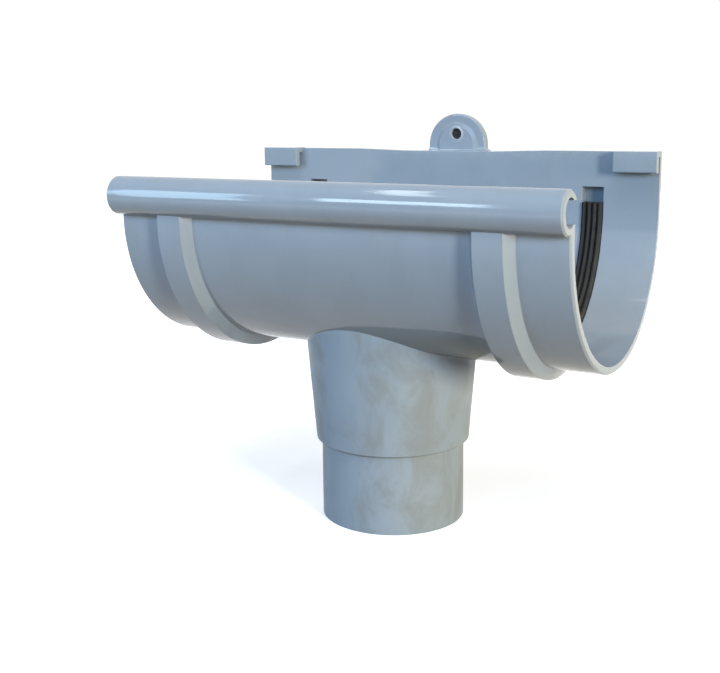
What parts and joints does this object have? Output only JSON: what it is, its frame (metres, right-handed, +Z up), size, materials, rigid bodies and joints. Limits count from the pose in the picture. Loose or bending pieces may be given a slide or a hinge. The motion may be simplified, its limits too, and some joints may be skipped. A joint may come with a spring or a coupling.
{
  "type": "gutter outlet",
  "caption": "Half-round gutter outlet with a hooked front roll, seal grooves with rubber seals, edge clips, a screw lug and a tapered outlet ending in a round spigot.",
  "frame": {"origin": "centre of the spigot's lower end, which is also the face that it stands on", "axes": "+X along the gutter, to the right when seen from the front roll; +Y towards the wall of the house; +Z up, along the spigot"},
  "size_m": [0.217, 0.1516, 0.1896],
  "materials": {
    "grey_plastic": "smooth moulded plastic with a soft gloss",
    "seal_rubber": "matt extruded rubber"
  },
  "bodies": {
    "root": {"outlet_body": "grey_plastic", "seal_left": "seal_rubber", "seal_right": "seal_rubber"}
  },
  "joints": []
}
